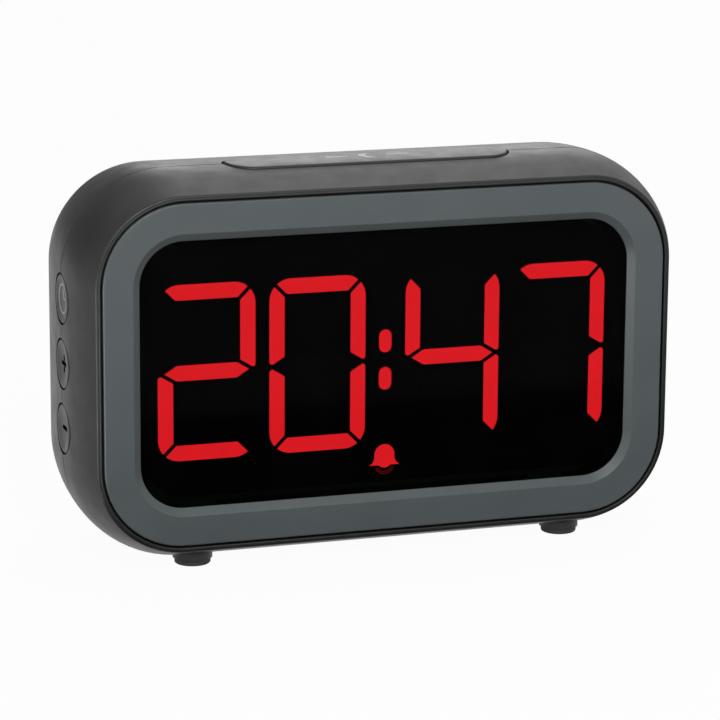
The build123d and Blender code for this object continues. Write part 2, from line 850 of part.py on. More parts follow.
# Clock chip with its rows of leads
with BuildPart() as clock_chip:
    with BuildSketch(face_plane(board_back_depth, chip_x, chip_rise)):
        Rectangle(chip_length, chip_width)
    extrude(amount=-chip_thickness)
    with BuildSketch(face_plane(board_back_depth, chip_x, chip_rise)):
        with GridLocations(chip_lead_pitch, 0, chip_leads_per_side, 1):
            Rectangle(chip_lead_width, chip_width + 2 * chip_lead_reach)
    extrude(amount=-chip_lead_thickness)
save(clock_chip.part, "clock_chip")

# Timing crystal: a small can that lies on the board
with BuildPart() as timing_crystal:
    can_y = front_y + board_back_depth + crystal_gap + crystal_radius
    can_plane = Plane(
        origin=(crystal_x, can_y, centre_z + crystal_rise), x_dir=(0, 1, 0), z_dir=(1, 0, 0)
    )
    with BuildSketch(can_plane):
        Circle(crystal_radius)
    extrude(amount=crystal_length)
save(timing_crystal.part, "timing_crystal")

# Capacitors: two cans with a crimped groove near the board
with BuildPart() as capacitors:
    with BuildSketch(face_plane(board_back_depth, capacitor_x, capacitor_rise)):
        with GridLocations(capacitor_pitch, 0, 2, 1):
            Circle(capacitor_radius)
    extrude(amount=-capacitor_height)
save(capacitors.part, "capacitors")

# Rubber feet: a pad with a rounded edge and a stem that plugs into its boss
foot_places = {
    "foot_front_left": (-foot_spread / 2, front_foot_depth),
    "foot_front_right": (foot_spread / 2, front_foot_depth),
    "foot_rear_left": (-foot_spread / 2, rear_foot_depth),
    "foot_rear_right": (foot_spread / 2, rear_foot_depth),
}
for name, (x, depth) in foot_places.items():
    with BuildPart() as foot:
        with BuildSketch(floor_plane(0, x, front_y + depth)):
            Circle(foot_radius)
        extrude(amount=foot_height)
        fillet(foot.edges().group_by(Axis.Z)[0], foot_edge_round)
        with BuildSketch(floor_plane(foot_height, x, front_y + depth)):
            Circle(foot_stem_radius)
        extrude(amount=foot_stem_length)
    save(foot.part, name)


def tact_switch(plane):
    """A square switch body on its board, with a round bore for the plunger."""
    with BuildPart() as body:
        with BuildSketch(plane):
            Rectangle(switch_size, switch_size)
            chamfer(vertices(), switch_edge)
        extrude(amount=switch_height)
        with BuildSketch(plane.offset(switch_height)):
            Circle(plunger_radius + plunger_clearance)
        extrude(amount=-(plunger_hold + plunger_room), mode=Mode.SUBTRACT)
    return body.part


def tact_plunger(plane):
    """The round plunger of a switch on this plane."""
    with BuildPart() as plunger:
        with BuildSketch(plane.offset(switch_height - plunger_hold)):
            Circle(plunger_radius)
        extrude(amount=plunger_hold + plunger_reach)
    return plunger.part


# Side buttons: dished caps with a flange inside the wall and a stem on the switch
cap_x = side_x + button_sink
for name, rise in button_rises.items():
    with BuildPart() as button:
        with BuildSketch(face_plane(parting_depth, rise=rise)):
            with BuildLine():
                TangentArc((cap_x + button_dish, 0), (cap_x, button_radius - button_rim), tangent=(0, 1))
                Polyline(
                    (cap_x, button_radius - button_rim),
                    (cap_x, button_radius),
                    (button_flange_x, button_radius),
                    (button_flange_x, button_flange_radius),
                    (button_flange_x + button_flange_thickness, button_flange_radius),
                    (button_flange_x + button_flange_thickness, button_stem_radius),
                    (button_stem_x, button_stem_radius),
                    (button_stem_x, 0),
                    (cap_x + button_dish, 0),
                )
            make_face()
            fillet(vertices().sort_by_distance((cap_x, button_radius))[0], button_edge_round)
        revolve(axis=Axis((0, parting_y, centre_z + rise), (1, 0, 0)))
    save(button.part, f"{name}_button")
    save(tact_switch(side_plane(key_board_x, rise)), f"{name}_switch")
    save(tact_plunger(side_plane(key_board_x, rise)), f"{name}_plunger")

# Key board, upright behind the three side buttons
with BuildPart() as key_board:
    with BuildSketch(side_plane(key_board_x + key_board_thickness, button_rise)):
        Rectangle(key_board_width, key_board_height)
    extrude(amount=key_board_thickness)
save(key_board.part, "key_board")

# Snooze bar: a crowned hollow cap with a flange, a stem on the switch and two guide pegs
bar_top = top_z + snooze_proud
bar_edge = bar_top - snooze_crown
bar_floor = snooze_flange_z - snooze_flange_thickness
pocket_height = bar_edge - snooze_wall - bar_floor
with BuildPart() as snooze_bar:
    with BuildSketch(Plane.YZ):
        with BuildLine():
            front_edge = parting_y - snooze_width / 2
            rear_edge = parting_y + snooze_width / 2
            ThreePointArc((front_edge, bar_edge), (parting_y, bar_top), (rear_edge, bar_edge))
            Polyline(
                (rear_edge, bar_edge),
                (rear_edge, bar_floor),
                (front_edge, bar_floor),
                (front_edge, bar_edge),
            )
        make_face()
    extrude(amount=snooze_length / 2, both=True)
    with BuildSketch(floor_plane(bar_floor, y=parting_y)):
        SlotOverall(snooze_length, snooze_width)
    extrude(amount=bar_top - bar_floor + overrun, mode=Mode.INTERSECT)
    fillet(snooze_bar.faces().sort_by(Axis.Z)[-1].edges(), snooze_edge_round)
    with BuildSketch(floor_plane(bar_floor, y=parting_y)):
        SlotOverall(snooze_length + 2 * snooze_flange, snooze_width + 2 * snooze_flange)
    extrude(amount=snooze_flange_thickness)
    with BuildSketch(floor_plane(bar_floor, y=parting_y)):
        SlotOverall(snooze_length - 2 * snooze_wall, snooze_width - 2 * snooze_wall)
    extrude(amount=pocket_height, mode=Mode.SUBTRACT)
    with BuildSketch(floor_plane(snooze_stem_z, y=parting_y)):
        Circle(snooze_stem_radius)
    extrude(amount=bar_floor + pocket_height - snooze_stem_z)
    with BuildSketch(floor_plane(bar_floor - snooze_peg_length, y=parting_y)):
        with GridLocations(snooze_peg_spread, 0, 2, 1):
            Circle(snooze_peg_radius)
    extrude(amount=snooze_peg_length + pocket_height)
save(snooze_bar.part, "snooze_bar")

# Snooze switch on its board, which the bar's pegs pass through
snooze_plane = floor_plane(snooze_board_z, y=parting_y)
save(tact_switch(snooze_plane), "snooze_switch")
save(tact_plunger(snooze_plane), "snooze_plunger")
with BuildPart() as snooze_board:
    with BuildSketch(floor_plane(bracket_z, y=parting_y)):
        Rectangle(snooze_board_length, snooze_board_width)
        with GridLocations(snooze_peg_spread, 0, 2, 1):
            Circle(snooze_peg_radius + snooze_peg_clearance, mode=Mode.SUBTRACT)
        with GridLocations(bracket_spread, 0, 2, 1):
            Circle(board_screw_radius + screw_hole_clearance, mode=Mode.SUBTRACT)
    extrude(amount=snooze_board_thickness)
save(snooze_board.part, "snooze_board")

# Back-up cells
with BuildPart() as backup_cells:
    for turn, rise in zip((1, -1), cell_rises):
        flat_end = Plane(
            origin=(bay_x - turn * cell_length / 2, front_y + cell_depth, centre_z + rise),
            x_dir=(0, 1, 0),
            z_dir=(turn, 0, 0),
        )
        with BuildSketch(flat_end):
            Circle(cell_radius)
        extrude(amount=cell_length - cell_nub_height)
        with BuildSketch(flat_end):
            Circle(cell_nub_radius)
        extrude(amount=cell_length)
save(backup_cells.part, "backup_cells")

# Battery contacts: a bridge at one end of the bay and two tailed plates at the other
bump_height = bay_end_room - contact_thickness - contact_bump_gap
bump_taper = degrees(atan2(contact_bump_radius - contact_bump_tip_radius, bump_height))
with BuildPart() as battery_contacts:
    for side in (-1, 1):
        plate_x = bay_x + side * bay_length / 2
        plate_origin = (plate_x, front_y + cell_depth, centre_z + bay_rise)
        end_plane = Plane(origin=plate_origin, x_dir=(0, 1, 0), z_dir=(-side, 0, 0))
        with BuildSketch(end_plane):
            with GridLocations(0, cell_pitch, 1, 2):
                Rectangle(contact_width, contact_width)
            if side < 0:
                with Locations((contact_width / 4, 0)):
                    Rectangle(contact_width / 2, cell_pitch)
            else:
                with GridLocations(0, cell_pitch, 1, 2):
                    Rectangle(contact_tail_length, contact_tail_width, align=(Align.MAX, Align.CENTER))
        extrude(amount=contact_thickness)
        with BuildSketch(end_plane.offset(contact_thickness)):
            with GridLocations(0, cell_pitch, 1, 2):
                Circle(contact_bump_radius)
        extrude(amount=bump_height, taper=bump_taper)
save(battery_contacts.part, "battery_contacts")

# Battery door: a flush plate with two tongues below and a sprung latch tab above
door_inner_depth = back_inner_depth + door_seat_gap
door_height = door_opening_height - 2 * door_clearance
with BuildPart() as battery_door:
    with BuildSketch(face_plane(case_depth, bay_x, bay_rise)):
        Rectangle(door_opening_length - 2 * door_clearance, door_height)
        with Locations((0, door_height / 2)):
            with GridLocations(latch_width + latch_slit, 0, 2, 1):
                Rectangle(latch_slit, 2 * latch_length, mode=Mode.SUBTRACT)
    extrude(amount=case_depth - door_inner_depth)
    with BuildSketch(face_plane(case_depth, bay_x, bay_rise + door_height / 2 - latch_length / 2)):
        SlotOverall(latch_width - 2 * latch_slit, latch_length / 2)
    extrude(amount=latch_grip_depth, mode=Mode.SUBTRACT)
    with BuildSketch(face_plane(tongue_back_depth, bay_x, door_bottom_rise - door_tongue_reach)):
        with GridLocations(door_tongue_spread, 0, 2, 1):
            Rectangle(
                door_tongue_width,
                door_tongue_reach + door_clearance + door_tongue_root,
                align=(Align.CENTER, Align.MIN),
            )
    extrude(amount=door_tongue_thickness)
    with BuildSketch(face_plane(door_inner_depth, bay_x, door_bottom_rise + door_clearance)):
        with GridLocations(door_tongue_spread, 0, 2, 1):
            Rectangle(door_tongue_width, door_tongue_root, align=(Align.CENTER, Align.MIN))
    extrude(amount=door_inner_depth - tongue_back_depth)
save(battery_door.part, "battery_door")

# Buzzer in its ring, against the back panel
with BuildPart() as alarm_buzzer:
    with BuildSketch(face_plane(back_inner_depth, buzzer_x, buzzer_rise)):
        Circle(buzzer_radius)
    extrude(amount=buzzer_height)
    with BuildSketch(face_plane(back_inner_depth - buzzer_height, buzzer_x, buzzer_rise)):
        Circle(buzzer_cap_radius)
    extrude(amount=buzzer_cap_height)
save(alarm_buzzer.part, "alarm_buzzer")

# Low-voltage inlet: a socket body behind the back panel, and the pin inside it
with BuildPart() as power_inlet:
    with BuildSketch(face_plane(back_inner_depth, inlet_x, inlet_rise)):
        Rectangle(inlet_width, inlet_height)
        chamfer(vertices(), inlet_edge)
    extrude(amount=inlet_length)
    with BuildSketch(face_plane(back_inner_depth, inlet_x, inlet_rise)):
        Circle(inlet_bore_radius)
    extrude(amount=inlet_bore_depth, mode=Mode.SUBTRACT)
save(power_inlet.part, "power_inlet")
with BuildPart() as power_inlet_pin:
    with BuildSketch(face_plane(back_inner_depth - inlet_bore_depth, inlet_x, inlet_rise)):
        Circle(inlet_pin_radius)
    extrude(amount=inlet_pin_setback - inlet_bore_depth)
save(power_inlet_pin.part, "power_inlet_pin")

# Flat ribbons from the key board and the snooze board to the display board
board_back_y = front_y + board_back_depth
key_board_inner_x = key_board_x + key_board_thickness
with BuildPart() as key_ribbon:
    with BuildSketch(floor_plane(centre_z + button_rise - ribbon_width / 2)):
        with BuildLine():
            key_route = FilletPolyline(
                (key_board_inner_x, parting_y + ribbon_foot),
                (key_board_inner_x, board_back_y),
                (-board_width / 2 + ribbon_foot, board_back_y),
                radius=ribbon_bend,
            )
            offset(key_route, amount=ribbon_thickness, side=Side.LEFT)
        make_face()
    extrude(amount=ribbon_width)
save(key_ribbon.part, "key_ribbon")
with BuildPart() as snooze_ribbon:
    with BuildSketch(Plane.YZ.offset(-ribbon_width / 2)):
        with BuildLine():
            snooze_route = FilletPolyline(
                (parting_y, bracket_z),
                (board_back_y, bracket_z),
                (board_back_y, bracket_z - 2 * ribbon_foot),
                radius=ribbon_bend,
            )
            offset(snooze_route, amount=ribbon_thickness, side=Side.LEFT)
        make_face()
    extrude(amount=ribbon_width)
save(snooze_ribbon.part, "snooze_ribbon")


def lead_pair(x, depth, rise, bend_x, spread_x, spread_rise):
    """Two leads from a terminal at this place to the back of the display board, with a slack bend."""
    run = depth - board_back_depth
    with BuildPart() as leads:
        for side in (-1, 1):
            start_x = x + side * spread_x / 2
            lead_z = centre_z + rise + side * spread_rise / 2
            end_x = start_x + bend_x
            with BuildLine() as route:
                FilletPolyline(
                    (start_x, front_y + depth, lead_z),
                    (start_x, front_y + depth - run * lead_straight_share, lead_z),
                    (end_x, front_y + board_back_depth + run * lead_straight_share, lead_z),
                    (end_x, front_y + board_back_depth, lead_z),
                    radius=run * lead_bend_share,
                )
            with BuildSketch(face_plane(depth, start_x, lead_z - centre_z)):
                Circle(lead_radius)
            sweep(path=route.line)
    return leads.part


contact_x = bay_x + (bay_length - contact_thickness) / 2
contact_tail_depth = cell_depth - contact_tail_length
inlet_back_depth = back_inner_depth - inlet_length
save(
    lead_pair(inlet_x, inlet_back_depth, inlet_rise, -lead_slack, lead_spacing, 0), "power_leads"
)
save(lead_pair(contact_x, contact_tail_depth, bay_rise, -lead_slack, 0, cell_pitch), "battery_leads")
buzzer_lead_x = buzzer_x - (buzzer_radius + buzzer_cap_radius) / 2
buzzer_lead_depth = back_inner_depth - buzzer_height
save(
    lead_pair(buzzer_lead_x, buzzer_lead_depth, buzzer_rise, -lead_slack, 0, lead_spacing),
    "buzzer_leads",
)
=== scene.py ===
"""Looks of a digital LED desk clock: finishes, signs, glow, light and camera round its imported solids."""

import json
from math import cos, pi, radians, sin

import bmesh
import bpy
from mathutils import Matrix, Vector
from mathutils.bvhtree import BVHTree


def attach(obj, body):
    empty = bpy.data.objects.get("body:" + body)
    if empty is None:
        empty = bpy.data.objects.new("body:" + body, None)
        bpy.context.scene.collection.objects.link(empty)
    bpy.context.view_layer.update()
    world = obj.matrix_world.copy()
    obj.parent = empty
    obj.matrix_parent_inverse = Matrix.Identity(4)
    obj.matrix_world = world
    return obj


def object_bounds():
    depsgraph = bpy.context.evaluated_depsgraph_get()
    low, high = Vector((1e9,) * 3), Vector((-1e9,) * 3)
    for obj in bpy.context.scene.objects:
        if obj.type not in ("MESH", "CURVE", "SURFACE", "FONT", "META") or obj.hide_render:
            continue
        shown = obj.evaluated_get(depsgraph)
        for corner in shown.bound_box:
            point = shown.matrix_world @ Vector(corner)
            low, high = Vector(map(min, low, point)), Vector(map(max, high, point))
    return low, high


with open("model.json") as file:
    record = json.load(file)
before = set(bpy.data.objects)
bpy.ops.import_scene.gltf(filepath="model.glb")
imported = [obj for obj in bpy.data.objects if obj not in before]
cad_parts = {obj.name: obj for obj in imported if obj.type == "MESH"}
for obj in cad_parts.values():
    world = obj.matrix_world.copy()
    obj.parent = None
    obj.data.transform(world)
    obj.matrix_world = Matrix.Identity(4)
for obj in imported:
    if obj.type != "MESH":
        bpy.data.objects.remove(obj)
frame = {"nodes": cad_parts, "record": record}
cad_low, cad_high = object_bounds()
nodes = frame["nodes"]

MM = 0.001

# Places on the object, in millimetres in the part's frame
FRONT_Y = -19.5
PARTING_Y = -2.8
CENTRE_Z = 42.55
BUTTON_Z = {"set": 57.30, "plus": 43.15, "minus": 29.00}
BELL_BRIM_RISE = -23.4
DISPLAY_DEPTH = 3.2
CELL_BAND_X = 3.5
CELL_BAND_EDGE = 0.1


# Materials

SOCKETS = {
    "colour": "Base Color",
    "roughness": "Roughness",
    "metallic": "Metallic",
    "specular": "Specular IOR Level",
    "alpha": "Alpha",
    "glow": "Emission Color",
    "glow_strength": "Emission Strength",
}

# Where most of a noise's values lie
NOISE_LOW = 0.3
NOISE_HIGH = 0.7


def linear(red, green, blue):
    """A colour written in 8-bit sRGB, as the linear RGBA that a shader takes."""
    shares = [value / 255 for value in (red, green, blue)]
    return [s / 12.92 if s <= 0.04045 else ((s + 0.055) / 1.055) ** 2.4 for s in shares] + [1.0]


def shade(colour, share):
    """The same colour, lighter or darker by this share."""
    return [min(1.0, value * share) for value in colour[:3]] + [1.0]


class Surface:
    """A Principled material, with the noises that break up its colour, gloss and relief."""

    def __init__(self, name, **settings):
        self.material = bpy.data.materials.new(name)
        self.material.use_nodes = True
        self.tree = self.material.node_tree
        self.shader = self.tree.nodes["Principled BSDF"]
        for key, value in settings.items():
            self.shader.inputs[SOCKETS[key]].default_value = value
        self.place = self.add("ShaderNodeTexCoord").outputs["Object"]

    def add(self, kind, **inputs):
        """A new node; each input is a value or another node's output."""
        node = self.tree.nodes.new(kind)
        for key, value in inputs.items():
            self.feed(node.inputs[key], value)
        return node

    def feed(self, socket, value):
        """Links another node's output to the socket, or sets its value."""
        if isinstance(value, bpy.types.NodeSocket):
            self.tree.links.new(value, socket)
        else:
            socket.default_value = value

    def noise(self, scale, detail, stretch=None):
        """Noise with about this many cells to the metre, from 0 to 1."""
        place = self.place
        if stretch:
            place = self.add("ShaderNodeMapping", Vector=place, Scale=stretch).outputs["Vector"]
        node = self.add("ShaderNodeTexNoise", Vector=place, Scale=scale, Detail=detail)
        return node.outputs["Fac"]

    def span(self, value, low, high, start=NOISE_LOW, end=NOISE_HIGH):
        """Spreads the value's range from start to end over low to high."""
        node = self.tree.nodes.new("ShaderNodeMapRange")
        for key, given in (
            ("Value", value), ("From Min", start), ("From Max", end), ("To Min", low), ("To Max", high)
        ):
            self.feed(node.inputs[key], given)
        return node.outputs["Result"]

    def cloud(self, scale, detail):
        """Noise spread over the whole of 0 to 1, to mix two tones by."""
        return self.span(self.noise(scale, detail), 0.0, 1.0)

    def blend(self, share, first, second):
        """The first colour going over into the second."""
        node = self.tree.nodes.new("ShaderNodeMix")
        node.data_type = "RGBA"
        self.feed(node.inputs["Factor"], share)
        self.feed(node.inputs[6], first)
        self.feed(node.inputs[7], second)
        return node.outputs[2]

    def paint(self, colour):
        """Takes this colour, the same all over or from another node."""
        self.feed(self.shader.inputs["Base Color"], colour)

    def gloss(self, scale, detail, low, high):
        """Takes a roughness that wanders from low to high."""
        self.feed(self.shader.inputs["Roughness"], self.span(self.noise(scale, detail), low, high))

    def relief(self, height, depth):
        """Takes a fine relief of this depth in millimetres."""
        bump = self.add("ShaderNodeBump", Height=height, Distance=depth * MM, Strength=1.0)
        self.feed(self.shader.inputs["Normal"], bump.outputs["Normal"])


def moulded(name, colour, roughness, grain=2600, depth=0.012, mottle=0.08, **settings):
    """Moulded plastic: a fine eroded grain, with a slightly uneven tone and gloss."""
    surface = Surface(name, **settings)
    tone = surface.cloud(scale=70, detail=3.0)
    surface.paint(surface.blend(tone, shade(colour, 1 - mottle), shade(colour, 1 + mottle)))
    surface.gloss(scale=240, detail=4.0, low=roughness - 0.04, high=roughness + 0.05)
    surface.relief(surface.noise(scale=grain, detail=2.0), depth)
    return surface.material


def metal(name, colour, roughness):
    """Plated or drawn metal with fine lines in it."""
    surface = Surface(name, metallic=1.0)
    lines = surface.noise(scale=900, detail=3.0, stretch=(1, 1, 12))
    surface.paint(surface.blend(surface.span(lines, 0.0, 1.0), shade(colour, 0.86), shade(colour, 1.08)))
    surface.gloss(scale=160, detail=3.0, low=roughness - 0.06, high=roughness + 0.08)
    surface.relief(lines, depth=0.004)
    return surface.material


def glowing(name, colour, strength, dim):
    """A lit diffuser: its light is even, a little weaker in cloudy spots."""
    surface = Surface(name, colour=shade(colour, 0.15), roughness=0.6, specular=0.1, glow_strength=strength)
    light = surface.blend(surface.cloud(scale=260, detail=2.0), shade(colour, dim), colour)
    surface.feed(surface.shader.inputs["Emission Color"], light)
    return surface.material


def smoked(name):
    """The dark window: clear smoked plastic with a hard, smooth skin."""
    surface = Surface(name, alpha=0.45, specular=0.03)
    tone = surface.cloud(scale=90, detail=3.0)
    surface.paint(surface.blend(tone, linear(2, 2, 3), linear(6, 5, 5)))
    surface.gloss(scale=120, detail=3.0, low=0.05, high=0.09)
    return surface.material


def laminate(name):
    """Circuit board: green mask over copper lines that run across it in steps."""
    surface = Surface(name, specular=0.6)
    tracks = surface.add("ShaderNodeTexBrick", Vector=surface.place, Scale=420.0)
    tracks.inputs["Mortar Size"].default_value = 0.02
    copper = tracks.outputs["Fac"]
    surface.paint(surface.blend(copper, linear(16, 74, 44), linear(46, 120, 70)))
    surface.gloss(scale=300, detail=3.0, low=0.28, high=0.42)
    surface.relief(copper, depth=0.02)
    return surface.material


def wrapped(name, band_from):
    """The shrunk jacket of a cell, with a pale band round one end."""
    surface = Surface(name, specular=0.4)
    along = surface.add("ShaderNodeSeparateXYZ", Vector=surface.place).outputs["X"]
    band = surface.span(along, 0.0, 1.0, band_from * MM, (band_from + CELL_BAND_EDGE) * MM)
    tone = surface.cloud(scale=120, detail=3.0)
    dark = surface.blend(tone, linear(52, 66, 82), linear(64, 80, 98))
    pale = surface.blend(tone, linear(168, 164, 154), linear(188, 184, 172))
    surface.paint(surface.blend(band, dark, pale))
    surface.gloss(scale=300, detail=3.0, low=0.2, high=0.32)
    return surface.material


CASE = linear(23, 23, 24)
BEZEL = linear(75, 82, 83)
RED = linear(222, 26, 34)
DIM_RED = linear(122, 10, 16)

finishes = {
    "case_plastic": moulded("case_plastic", CASE, 0.42, specular=0.35),
    "bezel_plastic": moulded(
        "bezel_plastic", BEZEL, 0.36, grain=3200, depth=0.008, mottle=0.05, specular=0.35
    ),
    "smoked_lens": smoked("smoked_lens"),
    "lit_red": glowing("lit_red", RED, strength=3.05, dim=0.95),
    "unlit_diffuser": moulded("unlit_diffuser", linear(7, 5, 5), 0.6, specular=0.0),
    "reflector_black": moulded("reflector_black", linear(4, 4, 4), 0.7, specular=0.0),
    "circuit_board": laminate("circuit_board"),
    "led_package": moulded("led_package", linear(236, 233, 222), 0.3),
    "chip_black": moulded("chip_black", linear(40, 40, 42), 0.55, grain=4200),
    "switch_body": moulded("switch_body", linear(52, 52, 54), 0.5),
    "switch_plunger": moulded("switch_plunger", linear(30, 30, 30), 0.45),
    "crystal_can": metal("crystal_can", linear(214, 214, 210), 0.3),
    "capacitor_sleeve": moulded("capacitor_sleeve", linear(34, 40, 72), 0.25),
    "screw_steel": metal("screw_steel", linear(196, 196, 190), 0.32),
    "foot_rubber": moulded("foot_rubber", linear(36, 36, 36), 0.75, grain=1500, depth=0.02, mottle=0.15),
    "cell_jacket": wrapped("cell_jacket", CELL_BAND_X),
    "contact_nickel": metal("contact_nickel", linear(208, 203, 190), 0.28),
    "buzzer_black": moulded("buzzer_black", linear(30, 30, 31), 0.5),
    "inlet_black": moulded("inlet_black", linear(26, 26, 27), 0.42),
    "ribbon_grey": moulded("ribbon_grey", linear(170, 171, 172), 0.45),
    "lead_insulation": moulded("lead_insulation", linear(150, 30, 30), 0.35),
}
for entry in frame["record"]["subparts"]:
    shown = nodes[entry["node"]].data.materials
    shown.clear()
    shown.append(finishes[entry["material_slot"]])

print_ink = moulded("print_ink", linear(150, 160, 168), 0.5, mottle=0.12)
sign_ink = moulded("sign_ink", linear(8, 8, 8), 0.8, mottle=0.2, specular=0.0)
arc_glow = glowing("arc_glow", DIM_RED, strength=2.2, dim=0.9)


# Signs: thin strokes that lie on the surface under them, in millimetres

STROKE_LIFT = 0.03
STROKE_SINK = 0.06
STROKE_EDGE = 0.08
RAY_START = 3.0
LINE_STEPS = 8
CURVE_STEPS = 28

# A stroke's round end, a little blunt at its tip
END_TURNS = [radians(30 * step) for step in range(4)]
END_REACH = 0.995
END_TIP = 0.1

# The sickle's ends, in degrees, and the share of its width that is left at its tips
MOON_FIRST = 60
MOON_SWEEP = 240
MOON_TIP = 0.05


def round_end(tip, inward, half_width):
    """The stations of a stroke's round end, from its tip inwards."""
    return [
        (tip + inward * half_width * (1 - cos(turn) * END_REACH), half_width * max(sin(turn), END_TIP))
        for turn in END_TURNS
    ]


def stroke_line(start, end, half_width):
    """A straight stroke with round ends, as stations of a place and a half-width."""
    start, end = Vector(start), Vector(end)
    along = (end - start).normalized()
    inner_start, inner_end = start + along * half_width, end - along * half_width
    middle = [
        (inner_start.lerp(inner_end, step / LINE_STEPS), half_width) for step in range(1, LINE_STEPS)
    ]
    return round_end(start, along, half_width) + middle + round_end(end, -along, half_width)[::-1]


def stroke_arc(centre, radius, first, last, half_width, steps=CURVE_STEPS):
    """A stroke along a circle, between two angles in degrees."""
    turns = [radians(first + (last - first) * step / steps) for step in range(steps + 1)]
    return [(Vector(centre) + radius * Vector((cos(turn), sin(turn))), half_width) for turn in turns]


def crescent(centre, radius, width):
    """A moon's sickle, open to the right, as one stroke that tapers to both tips."""
    stations = []
    for step in range(CURVE_STEPS + 1):
        turn = radians(MOON_FIRST + MOON_SWEEP * step / CURVE_STEPS)
        half_width = width / 2 * max(sin(pi * step / CURVE_STEPS), MOON_TIP)
        reach = radius - half_width
        stations.append((Vector(centre) + reach * Vector((cos(turn), sin(turn))), half_width))
    return stations


def sign(name, strokes, place, right, up, node, body, ink, slot):
    """Lays strokes, drawn in millimetres on a plane at this place, down on the node behind that plane."""
    right, up = Vector(right), Vector(up)
    out = right.cross(up)
    mesh = nodes[node].data
    ground = BVHTree.FromPolygons([v.co for v in mesh.vertices], [p.vertices for p in mesh.polygons])
    build = bmesh.new()

    def landed(flat, lift):
        above = (Vector(place) + right * flat.x + up * flat.y + out * RAY_START) * MM
        hit = ground.ray_cast(above, -out)[0]
        return hit + out * lift * MM

    for stations in strokes:
        rows = []
        for index, (spot, half) in enumerate(stations):
            before = stations[max(index - 1, 0)][0]
            after = stations[min(index + 1, len(stations) - 1)][0]
            along = (after - before).normalized()
            across = Vector((-along.y, along.x))
            edge = min(STROKE_EDGE, half / 2)
            rows.append([
                build.verts.new(landed(spot - across * half, -STROKE_SINK)),
                build.verts.new(landed(spot - across * (half - edge), STROKE_LIFT)),
                build.verts.new(landed(spot + across * (half - edge), STROKE_LIFT)),
                build.verts.new(landed(spot + across * half, -STROKE_SINK)),
            ])
        for row, following in zip(rows, rows[1:]):
            for side in range(4):
                next_side = (side + 1) % 4
                build.faces.new([row[side], following[side], following[next_side], row[next_side]])
        build.faces.new(rows[0])
        build.faces.new(rows[-1][::-1])
    bmesh.ops.recalc_face_normals(build, faces=build.faces)
    made = bpy.data.meshes.new(name)
    build.to_mesh(made)
    build.free()
    made.materials.append(ink)
    piece = bpy.data.objects.new(name, made)
    bpy.context.scene.collection.objects.link(piece)
    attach(piece, body)


def on_button(name):
    """The middle of a side button's face, with the directions to the right and up on it."""
    return {
        "place": (cad_low.x / MM, PARTING_Y, BUTTON_Z[name]),
        "right": (0, -1, 0),
        "up": (0, 0, 1),
        "node": f"{name}_button",
        "body": f"{name}_button",
        "slot": "case_plastic",
    }


# Plus and minus: the plus sign's upright bars start inside its level one
HALF_BAR = 0.55
BAR_REACH = 1.95
BAR_START = HALF_BAR * 0.9
across_bar = stroke_line((-BAR_REACH, 0), (BAR_REACH, 0), HALF_BAR)
upper_bar = stroke_line((0, BAR_START), (0, BAR_REACH), HALF_BAR)
lower_bar = stroke_line((0, -BAR_START), (0, -BAR_REACH), HALF_BAR)
sign("plus_sign", [across_bar, upper_bar, lower_bar], ink=sign_ink, **on_button("plus"))
sign("minus_sign", [across_bar], ink=sign_ink, **on_button("minus"))

# A plain clock face on the set button
CLOCK_RADIUS = 3.1
CLOCK_HALF_WIDTH = 0.27
CLOCK_STEPS = 48
HAND_TAIL = 0.15
LONG_HAND = 2.1
SHORT_HAND = 1.5
clock_face = [
    stroke_arc((0, 0), CLOCK_RADIUS, 0, 360, CLOCK_HALF_WIDTH, CLOCK_STEPS),
    stroke_line((0, -HAND_TAIL), (0, LONG_HAND), CLOCK_HALF_WIDTH),
    stroke_line((-HAND_TAIL, 0), (SHORT_HAND, 0), CLOCK_HALF_WIDTH),
]
sign("set_sign", clock_face, ink=print_ink, **on_button("set"))

# A moon between two dashes on the snooze bar
MOON_CENTRE = (0.6, 0)
MOON_RADIUS = 2.6
MOON_WIDTH = 1.8
DASH_FROM = 4.2
DASH_TO = 9.4
HALF_DASH = 0.45
snooze_marks = [
    crescent(MOON_CENTRE, MOON_RADIUS, MOON_WIDTH),
    stroke_line((-DASH_TO, 0), (-DASH_FROM, 0), HALF_DASH),
    stroke_line((DASH_FROM, 0), (DASH_TO, 0), HALF_DASH),
]
sign(
    "snooze_sign", snooze_marks, (0, PARTING_Y, cad_high.z / MM), (1, 0, 0), (0, 1, 0),
    "snooze_bar", "snooze_bar", print_ink, "case_plastic",
)

# The sound arcs under the bell: radius, first and last angle of each
ARC_CENTRE = (0, 0.17)
ARCS = ((1.65, 205, 335), (2.11, 200, 340))
HALF_ARC = 0.13
arcs = [stroke_arc(ARC_CENTRE, radius, first, last, HALF_ARC) for radius, first, last in ARCS]
sign(
    "bell_arcs", arcs, (0, FRONT_Y + DISPLAY_DEPTH, CENTRE_Z + BELL_BRIM_RISE), (1, 0, 0), (0, 0, 1),
    "segment_reflector", "case", arc_glow, "lit_red",
)


# World and floor

WHITE = (1.0, 1.0, 1.0, 1.0)
WORLD_STRENGTH = 0.4
FLOOR_COLOUR = (0.6, 0.6, 0.6, 1.0)
FLOOR_RADIUS = 4.0
FLOOR_SIDES = 96
FLOOR_GLOW_SHARE = 0.96
FLOOR_DROP = 0.05 * MM


def seen_rays(tree):
    """1 for the rays that show the background: straight to the camera, in gloss and through glass."""
    path = tree.nodes.new("ShaderNodeLightPath")
    total = path.outputs["Is Camera Ray"]
    for key in ("Is Glossy Ray", "Is Transmission Ray"):
        either = tree.nodes.new("ShaderNodeMath")
        either.operation = "MAXIMUM"
        tree.links.new(total, either.inputs[0])
        tree.links.new(path.outputs[key], either.inputs[1])
        total = either.outputs[0]
    return total


